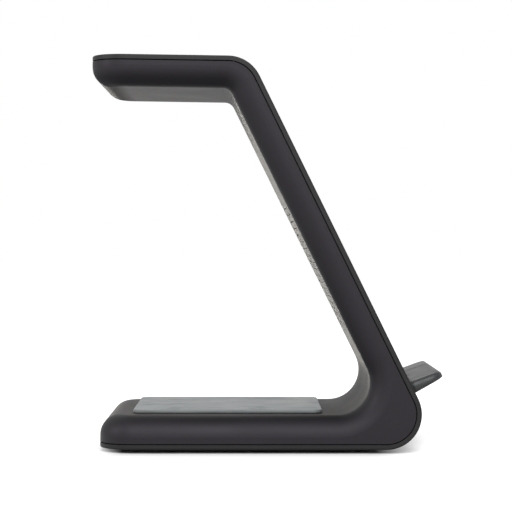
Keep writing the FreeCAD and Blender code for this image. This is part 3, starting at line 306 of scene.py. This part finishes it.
# %% Smudges left by fingers
def smudge_effect():
    """Makes blotches with fine ridges, up to 1 in a smudge and 0 on clean plastic."""
    tree, given, result = new_effect("finger_smudges", {"Scale": 45.0, "Ridges": 1250.0}, "Smudge")
    place = add_node(tree, "ShaderNodeTexCoord")
    blotch = add_node(tree, "ShaderNodeTexNoise", {"Detail": 3.0, "Distortion": 1.2})
    edge = add_node(tree, "ShaderNodeMapRange", {"From Min": 0.54, "From Max": 0.66},
                    interpolation_type="SMOOTHSTEP")
    ridges = add_node(tree, "ShaderNodeTexWave", {"Distortion": 6.0, "Detail": 1.0, "Detail Scale": 0.6},
                      bands_direction="DIAGONAL")
    lines = add_node(tree, "ShaderNodeMapRange", {"To Min": 0.6, "To Max": 1.0})
    smudge = add_node(tree, "ShaderNodeMath", operation="MULTIPLY")
    for texture in (blotch, ridges):
        tree.links.new(place.outputs["Object"], texture.inputs["Vector"])
    tree.links.new(given.outputs["Scale"], blotch.inputs["Scale"])
    tree.links.new(given.outputs["Ridges"], ridges.inputs["Scale"])
    tree.links.new(blotch.outputs["Fac"], edge.inputs["Value"])
    tree.links.new(ridges.outputs["Fac"], lines.inputs["Value"])
    tree.links.new(edge.outputs["Result"], smudge.inputs[0])
    tree.links.new(lines.outputs["Result"], smudge.inputs[1])
    tree.links.new(smudge.outputs[0], result.inputs["Smudge"])
    return tree


finger_smudges = smudge_effect()
print("effect:", finger_smudges.name)

# %% Streaks along the ledge
LEG_LEAN = math.radians(26.15)
STREAK_LENGTH = 0.02


def streak_effect():
    """Makes streaks that run out along the ledge, from 0 to 1."""
    tree, given, result = new_effect("reach_streaks", {"Scale": 1200.0}, "Streak")
    place = add_node(tree, "ShaderNodeTexCoord")
    along = add_node(tree, "ShaderNodeVectorRotate", {"Angle": LEG_LEAN}, rotation_type="Y_AXIS")
    narrow = add_node(tree, "ShaderNodeCombineXYZ", {"X": 1.0 / STREAK_LENGTH})
    stretched = add_node(tree, "ShaderNodeVectorMath", operation="MULTIPLY")
    lines = add_node(tree, "ShaderNodeTexNoise", {"Scale": 1.0, "Detail": 3.0, "Roughness": 0.6})
    clear = add_node(tree, "ShaderNodeMapRange", {"From Min": 0.42, "From Max": 0.62})
    tree.links.new(place.outputs["Object"], along.inputs["Vector"])
    tree.links.new(given.outputs["Scale"], narrow.inputs["Y"])
    tree.links.new(given.outputs["Scale"], narrow.inputs["Z"])
    tree.links.new(along.outputs["Vector"], stretched.inputs[0])
    tree.links.new(narrow.outputs["Vector"], stretched.inputs[1])
    tree.links.new(stretched.outputs["Vector"], lines.inputs["Vector"])
    tree.links.new(lines.outputs["Fac"], clear.inputs["Value"])
    tree.links.new(clear.outputs["Result"], result.inputs["Streak"])
    return tree


reach_streaks = streak_effect()
print("effect:", reach_streaks.name)

# %% [markdown]
# ## Masks from the shape
# The skin of a soft-touch moulding is not the same all over. The flat middle of the strip gets a painted
# sheen: its colour is a shade paler and warmer, where it mirrors the studio at a shallow angle. Rounded
# edges that turn down stay dull, because hands seldom rub them. Masks could be painted by hand, but here
# two groups read them from the shape itself: one from the distance to the sides and ends, and one from
# the direction of the surface.

# %% Flats and rounded edges
SIDE_EDGE = (0.0065, 0.0035)
FREE_END = (0.012, 0.005)
shell_low, shell_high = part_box("inner_shell")


def flats_effect():
    """Makes 1 on the middle of the strip and 0 on its rounded sides and free ends."""
    tree, _, result = new_effect("flat_faces", {}, "Flat")
    place = add_node(tree, "ShaderNodeTexCoord")
    parts = add_node(tree, "ShaderNodeSeparateXYZ")
    sideways = add_node(tree, "ShaderNodeMath", operation="ABSOLUTE")
    middle = add_node(tree, "ShaderNodeMapRange", {"From Min": shell_high.y - SIDE_EDGE[0],
                                                   "From Max": shell_high.y - SIDE_EDGE[1],
                                                   "To Min": 1.0, "To Max": 0.0})
    inward = add_node(tree, "ShaderNodeMapRange", {"From Min": shell_low.x + FREE_END[1],
                                                   "From Max": shell_low.x + FREE_END[0]})
    both = add_node(tree, "ShaderNodeMath", operation="MULTIPLY")
    tree.links.new(place.outputs["Object"], parts.inputs["Vector"])
    tree.links.new(parts.outputs["Y"], sideways.inputs[0])
    tree.links.new(sideways.outputs[0], middle.inputs["Value"])
    tree.links.new(parts.outputs["X"], inward.inputs["Value"])
    tree.links.new(middle.outputs["Result"], both.inputs[0])
    tree.links.new(inward.outputs["Result"], both.inputs[1])
    tree.links.new(both.outputs[0], result.inputs["Flat"])
    return tree


flat_faces = flats_effect()
print("effect:", flat_faces.name)

# %% Edges that turn down
def down_turned_effect():
    """Makes 1 on rounded edges that turn down and 0 on upright, upper and flat faces."""
    tree, given, result = new_effect("down_turned", {"Slope": 0.6}, "Mask")
    place = add_node(tree, "ShaderNodeTexCoord")
    parts = add_node(tree, "ShaderNodeSeparateXYZ")
    down = add_node(tree, "ShaderNodeMath", {1: -1.0}, operation="MULTIPLY")
    turned = add_node(tree, "ShaderNodeMapRange", {"From Min": 0.15})
    flat = add_node(tree, "ShaderNodeGroup", node_tree=flat_faces)
    round_part = add_node(tree, "ShaderNodeMath", {0: 1.0}, operation="SUBTRACT")
    both = add_node(tree, "ShaderNodeMath", operation="MULTIPLY")
    tree.links.new(place.outputs["Normal"], parts.inputs["Vector"])
    tree.links.new(parts.outputs["Z"], down.inputs[0])
    tree.links.new(down.outputs[0], turned.inputs["Value"])
    tree.links.new(given.outputs["Slope"], turned.inputs["From Max"])
    tree.links.new(flat.outputs["Flat"], round_part.inputs[1])
    tree.links.new(turned.outputs["Result"], both.inputs[0])
    tree.links.new(round_part.outputs[0], both.inputs[1])
    tree.links.new(both.outputs[0], result.inputs["Mask"])
    return tree


down_turned = down_turned_effect()
print("effect:", down_turned.name)

# %% [markdown]
# ## A finish from its parts
# A finish starts as one Principled shader with its plain numbers set straight on its sockets. Then the
# shared effects are wired in: drift moves the colour and the roughness a little, smudges and masks are
# laid over that, and grain bends the light through a Bump node. Writing these steps as functions lets
# each finish below say only what is special about it.

# %% Finish helpers
def new_finish(name, **numbers):
    """Starts a material and sets plain numbers and colours on its shader."""
    material = bpy.data.materials.new(name)
    material.use_nodes = True
    shader = material.node_tree.nodes["Principled BSDF"]
    for socket, value in numbers.items():
        shader.inputs[socket.replace("_", " ")].default_value = value
    return material.node_tree, shader, material


def effect(tree, group, **values):
    """Places a shared effect in a finish and gives its output."""
    node = add_node(tree, "ShaderNodeGroup", values, node_tree=group)
    return node.outputs[0]


def blend_colour(tree, mask, socket, first, second):
    """Runs a colour socket from one colour to another as a mask goes from 0 to 1."""
    mix = add_node(tree, "ShaderNodeMix", data_type="RGBA")
    mix.inputs["A"].default_value = (*first, 1.0)
    mix.inputs["B"].default_value = (*second, 1.0)
    tree.links.new(mask, mix.inputs["Factor"])
    tree.links.new(mix.outputs["Result"], socket)


def blend_number(tree, mask, socket, first, second):
    """Runs a number socket from one value to another as a mask goes from 0 to 1."""
    span = add_node(tree, "ShaderNodeMapRange", {"To Min": first, "To Max": second})
    tree.links.new(mask, span.inputs["Value"])
    tree.links.new(span.outputs["Result"], socket)


def lay_over(tree, mask, socket, colour):
    """Lays a colour over what already feeds a colour socket, where a mask is 1."""
    below = socket.links[0].from_socket
    mix = add_node(tree, "ShaderNodeMix", data_type="RGBA")
    mix.inputs["B"].default_value = (*colour, 1.0)
    tree.links.new(below, mix.inputs["A"])
    tree.links.new(mask, mix.inputs["Factor"])
    tree.links.new(mix.outputs["Result"], socket)


def shift_number(tree, mask, socket, amount):
    """Adds an amount to what already feeds a number socket, where a mask is 1."""
    total = add_node(tree, "ShaderNodeMath", {1: amount}, operation="MULTIPLY_ADD")
    tree.links.new(mask, total.inputs[0])
    tree.links.new(socket.links[0].from_socket, total.inputs[2])
    tree.links.new(total.outputs[0], socket)


def raise_bumps(tree, height, shader, depth):
    """Bends the shader's normal by a height that goes up to a depth in metres."""
    bump = add_node(tree, "ShaderNodeBump", {"Strength": 1.0, "Distance": depth})
    tree.links.new(height, bump.inputs["Height"])
    tree.links.new(bump.outputs["Normal"], shader.inputs["Normal"])


def dress(material, *nodes):
    """Gives a finish to CAD nodes."""
    for node in nodes:
        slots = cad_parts[node].data.materials
        slots.clear()
        slots.append(material)
    print(f"{material.name}: {', '.join(nodes)}")


# %% [markdown]
# ## The casing
# The inner tray is black plastic with a soft-touch skin, and the thin outer cover is the same plastic
# without the skin. Seen straight on they are nearly black; seen along the surface they turn grey, because
# a rough skin still mirrors the white studio at a shallow angle. That needs no painted gradient: a
# roughness near a half and a little sheen give it from every side. On top of that the flat middle has a
# painted sheen, its colour a shade paler and warmer, and edges that turn down are left rougher and so
# darker.

# %% Soft-touch tray and satin cover
DRIFT_ROUGHNESS = 0.03
# Colour of the painted sheen laid over the flat middle of the strip.
FLAT_PAINTED_SHEEN = (0.0072, 0.0064, 0.0052)
DULL_ROUGHNESS = 0.38
HANDLED_ROUGHNESS = -0.06


def moulded_plastic(name, dark, light, rough, grain_scale, grain_depth, **numbers):
    """Makes a grained plastic whose colour and roughness drift a little."""
    tree, shader, material = new_finish(name, **numbers)
    drift = effect(tree, colour_drift, Scale=45.0, Spread=0.22)
    blend_colour(tree, drift, shader.inputs["Base Color"], dark, light)
    blend_number(tree, drift, shader.inputs["Roughness"], rough - DRIFT_ROUGHNESS,
                 rough + DRIFT_ROUGHNESS)
    raise_bumps(tree, effect(tree, moulded_grain, Scale=grain_scale), shader, grain_depth)
    return material


soft_touch = moulded_plastic("soft_touch_black", dark=(0.0036, 0.0033, 0.0041),
                             light=(0.0050, 0.0046, 0.0056), rough=0.56, grain_scale=3200.0,
                             grain_depth=0.00002, Sheen_Weight=0.70, Sheen_Roughness=0.1,
                             Sheen_Tint=(1.0, 0.965, 0.875, 1.0), Specular_IOR_Level=0.20,
                             Specular_Tint=(0.95, 0.89, 0.98, 1.0))
tree = soft_touch.node_tree
shader = tree.nodes["Principled BSDF"]
# Painted sheen: the flat middle's colour is laid a shade paler and warmer, standing in for its warm
# reflection.
lay_over(tree, effect(tree, flat_faces), shader.inputs["Base Color"], FLAT_PAINTED_SHEEN)
shift_number(tree, effect(tree, down_turned), shader.inputs["Roughness"], DULL_ROUGHNESS)
dress(soft_touch, "inner_shell")

satin_cover = moulded_plastic("satin_black", dark=(0.0040, 0.0038, 0.0043), light=(0.0054, 0.0051, 0.0057),
                              rough=0.56, grain_scale=3800.0, grain_depth=0.00001,
                              Specular_IOR_Level=0.20)
tree = satin_cover.node_tree
shader = tree.nodes["Principled BSDF"]
shift_number(tree, effect(tree, finger_smudges), shader.inputs["Roughness"], HANDLED_ROUGHNESS)
dress(satin_cover, "outer_cover")

# %% [markdown]
# ## The polished pieces
# The ledge, the earbud pad and the watch disc are polished, so that dust and fingerprints wipe away. The
# ledge is black and the two pads are grey, and at a shallow angle all of them mirror the studio and look
# paler still. Hairline scratches, smudges and a cloudy drift in the roughness break the mirror up, as on
# a piece in use. The ledge also takes the streaks, and a Bevel node softens its rim a little further than
# the CAD model rounds it.

# %% Polished black and grey
WORN_ROUGHNESS = 0.16
SMUDGE_ROUGHNESS = 0.08
STREAK_ROUGHNESS = 0.08
STREAK_COLOUR = (0.0225, 0.0222, 0.0218)
RIM_SOFTNESS = 0.0025


def polished_plastic(name, dark, light, rough, **numbers):
    """Makes a polished plastic with hairline scratches."""
    tree, shader, material = new_finish(name, **numbers)
    drift = effect(tree, colour_drift, Scale=70.0, Spread=0.2)
    blend_colour(tree, drift, shader.inputs["Base Color"], dark, light)
    scratch = effect(tree, hairline_scratches, Scale=110.0)
    worn = add_node(tree, "ShaderNodeMath", {1: 0.5}, operation="MULTIPLY_ADD")
    tree.links.new(drift, worn.inputs[0])
    tree.links.new(scratch, worn.inputs[2])
    blend_number(tree, worn.outputs[0], shader.inputs["Roughness"], rough, rough + WORN_ROUGHNESS)
    smudges = effect(tree, finger_smudges, Scale=60.0)
    shift_number(tree, smudges, shader.inputs["Roughness"], SMUDGE_ROUGHNESS)
    raise_bumps(tree, effect(tree, moulded_grain, Scale=1500.0), shader, depth=0.000002)
    return material


pad_gloss = polished_plastic("pad_gloss", dark=(0.079, 0.0890, 0.0908), light=(0.099, 0.1100, 0.1120),
                             rough=0.32, Specular_IOR_Level=0.25)
dress(pad_gloss, "earbud_pad", "watch_pad")

ledge_gloss = polished_plastic("ledge_gloss", dark=(0.0135, 0.0148, 0.0165), light=(0.018, 0.0196, 0.0217),
                               rough=0.34, Specular_IOR_Level=0.26)
tree = ledge_gloss.node_tree
shader = tree.nodes["Principled BSDF"]
streaks = effect(tree, reach_streaks)
shift_number(tree, streaks, shader.inputs["Roughness"], STREAK_ROUGHNESS)
lay_over(tree, streaks, shader.inputs["Base Color"], STREAK_COLOUR)
soft_rim = add_node(tree, "ShaderNodeBevel", {"Radius": RIM_SOFTNESS}, samples=8)
bump = shader.inputs["Normal"].links[0].from_node
tree.links.new(soft_rim.outputs["Normal"], bump.inputs["Normal"])
dress(ledge_gloss, "phone_ledge")

# %% [markdown]
# ## The foot
# A soft mat keeps the station from sliding. Its skin is dull, coarser than the casing's and slightly
# dusty, so it takes the same grain at a larger scale with almost no mirror left.

# %% Foot mat
foot_skin = moulded_plastic("foot_rubber_skin", dark=(0.014, 0.014, 0.014), light=(0.024, 0.024, 0.023),
                            rough=0.78, grain_scale=1400.0, grain_depth=0.00006)
dress(foot_skin, "foot_mat")

# %% [markdown]
# ## What the casing holds
# The board, coils and ferrites are out of sight, but the part may be opened or cut later, so each has a
# finish of its own. Copper turns show as rings of enamelled wire, the board as green lacquer over fine
# traces, ferrite as dull grey grain, and steel as metal with a brushed roughness.

# %% Coils of enamelled wire
WIRE_PITCH = 0.0009


def coil_wire(node):
    """Makes rings of copper wire about the middle of a coil, with painted shade between the turns."""
    low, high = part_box(node)
    tree, shader, material = new_finish(f"{node}_wire", Metallic=1.0, Coat_Weight=0.6, Coat_Roughness=0.2)
    place = add_node(tree, "ShaderNodeTexCoord")
    centre = add_node(tree, "ShaderNodeVectorMath", {1: (low + high) / 2}, operation="DISTANCE")
    turns = add_node(tree, "ShaderNodeMath", {1: math.tau / WIRE_PITCH}, operation="MULTIPLY")
    ring = add_node(tree, "ShaderNodeMath", operation="SINE")
    wire_bump_and_shade = add_node(tree, "ShaderNodeMapRange", {"From Min": -1.0, "From Max": 1.0})
    tree.links.new(place.outputs["Object"], centre.inputs[0])
    tree.links.new(centre.outputs["Value"], turns.inputs[0])
    tree.links.new(turns.outputs[0], ring.inputs[0])
    tree.links.new(ring.outputs[0], wire_bump_and_shade.inputs["Value"])
    # Painted shade: the copper is painted darker in the gaps between turns, following the same rings as
    # the bump.
    blend_colour(tree, wire_bump_and_shade.outputs["Result"], shader.inputs["Base Color"],
                 first=(0.30, 0.10, 0.04), second=(0.72, 0.34, 0.16))
    drift = effect(tree, colour_drift, Scale=120.0, Spread=0.25)
    blend_number(tree, drift, shader.inputs["Roughness"], first=0.28, second=0.42)
    raise_bumps(tree, wire_bump_and_shade.outputs["Result"], shader, depth=0.0003)
    dress(material, node)


for coil in ("phone_coil_lower", "phone_coil_upper", "earbud_coil", "watch_coil"):
    coil_wire(coil)

# %% Circuit board
def board_lacquer():
    """Makes green lacquer over a lattice of traces."""
    tree, shader, material = new_finish("board_lacquer", Coat_Weight=0.3, Coat_Roughness=0.15)
    place = add_node(tree, "ShaderNodeTexCoord")
    traces = add_node(tree, "ShaderNodeTexBrick", {"Scale": 420.0, "Mortar Size": 0.035,
                                                   "Color1": (0.0, 0.0, 0.0, 1.0),
                                                   "Color2": (0.15, 0.15, 0.15, 1.0),
                                                   "Mortar": (1.0, 1.0, 1.0, 1.0)})
    tree.links.new(place.outputs["Object"], traces.inputs["Vector"])
    blend_colour(tree, traces.outputs["Color"], shader.inputs["Base Color"],
                 first=(0.018, 0.085, 0.042), second=(0.055, 0.190, 0.090))
    drift = effect(tree, colour_drift, Scale=90.0, Spread=0.25)
    blend_number(tree, drift, shader.inputs["Roughness"], first=0.32, second=0.45)
    raise_bumps(tree, traces.outputs["Color"], shader, depth=0.00004)
    return material


dress(board_lacquer(), "main_board")

# %% Metals
BRUSHED_ROUGHNESS = 0.15


def brushed_metal(name, dark, light, rough, metallic):
    """Makes a metal with drawn lines in its roughness."""
    tree, shader, material = new_finish(name, Metallic=metallic)
    scratch = effect(tree, hairline_scratches, Scale=260.0)
    drift = effect(tree, colour_drift, Scale=150.0, Spread=0.25)
    blend_colour(tree, drift, shader.inputs["Base Color"], dark, light)
    blend_number(tree, scratch, shader.inputs["Roughness"], rough, rough + BRUSHED_ROUGHNESS)
    raise_bumps(tree, effect(tree, moulded_grain, Scale=4000.0), shader, depth=0.000005)
    return material


plated_steel = brushed_metal("plated_steel", dark=(0.50, 0.50, 0.51), light=(0.62, 0.62, 0.63), rough=0.28,
                             metallic=1.0)
dress(plated_steel, "power_inlet", "watch_magnet", "case_screws", "board_screws", "frame_screws",
      "holder_screws")
grey_primer = brushed_metal("grey_primer", dark=(0.15, 0.15, 0.16), light=(0.21, 0.21, 0.22), rough=0.50,
                            metallic=0.0)
dress(grey_primer, "ballast_plate")

# %% Ferrite, ceramics and small mouldings
ferrite = moulded_plastic("sintered_ferrite", dark=(0.055, 0.055, 0.058), light=(0.105, 0.105, 0.110),
                          rough=0.60, grain_scale=2600.0, grain_depth=0.00005)
dress(ferrite, "phone_ferrite", "earbud_ferrite", "watch_ferrite", "power_inductors")
inner_moulding = moulded_plastic("inner_moulding", dark=(0.024, 0.024, 0.026), light=(0.036, 0.036, 0.038),
                                 rough=0.50, grain_scale=2600.0, grain_depth=0.00003)
dress(inner_moulding, "inlet_tongue", "phone_coil_frame", "watch_holder")
chip_body = moulded_plastic("chip_body", dark=(0.018, 0.018, 0.020), light=(0.030, 0.030, 0.032),
                            rough=0.55, grain_scale=3600.0, grain_depth=0.00002)
dress(chip_body, "controller_chip", "driver_chips")
ceramic = moulded_plastic("capacitor_ceramic", dark=(0.32, 0.20, 0.10), light=(0.46, 0.31, 0.17),
                          rough=0.45, grain_scale=3000.0, grain_depth=0.00002)
dress(ceramic, "tuning_capacitors")
wire_jacket = moulded_plastic("wire_jacket", dark=(0.018, 0.018, 0.018), light=(0.030, 0.030, 0.030),
                              rough=0.60, grain_scale=3000.0, grain_depth=0.00003)
dress(wire_jacket, "phone_lead", "watch_lead", "earbud_lead")

# %% [markdown]
# ## Contacts in the inlet
# A plug meets gold-plated strips on both faces of the inlet's tongue. They are too fine for the CAD
# model, but anyone who looks into the inlet sees them. A loop sets one bevelled bar per strip, with its
# place read from the tongue's own box, so the strips stay on the tongue if the inlet moves.

# %% Inlet contacts
CONTACTS = 12
CONTACT_PITCH = 0.0005
CONTACT_WIDTH = 0.00025
CONTACT_PROUD = 0.00004
CONTACT_MARGIN = 0.0006


def contact_bars():
    """Builds the rows of contact strips on the two faces of the tongue."""
    low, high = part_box("inlet_tongue")
    length = high.x - low.x - 2 * CONTACT_MARGIN
    mesh = bmesh.new()
    for face in (low.z, high.z):
        for index in range(CONTACTS):
            across = (index - (CONTACTS - 1) / 2) * CONTACT_PITCH
            bar = bmesh.ops.create_cube(mesh, size=1.0)["verts"]
            bmesh.ops.scale(mesh, verts=bar, vec=(length, CONTACT_WIDTH, 2 * CONTACT_PROUD))
            bmesh.ops.translate(mesh, verts=bar, vec=((low.x + high.x) / 2, across, face))
    edges = [edge for edge in mesh.edges if edge.calc_length() > CONTACT_WIDTH * 2]
    bmesh.ops.bevel(mesh, geom=edges, offset=CONTACT_PROUD / 2, segments=2, affect="EDGES")
    data = bpy.data.meshes.new("inlet_contacts")
    mesh.to_mesh(data)
    mesh.free()
    return data


contacts = bpy.data.objects.new("inlet_contacts", contact_bars())
scene.collection.objects.link(contacts)
gold_plate = brushed_metal("gold_plate", dark=(0.72, 0.48, 0.16), light=(0.82, 0.58, 0.22), rough=0.22,
                           metallic=1.0)
contacts.data.materials.append(gold_plate)
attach(contacts, "root")
print(f"{len(contacts.data.polygons)} faces in {2 * CONTACTS} contacts")
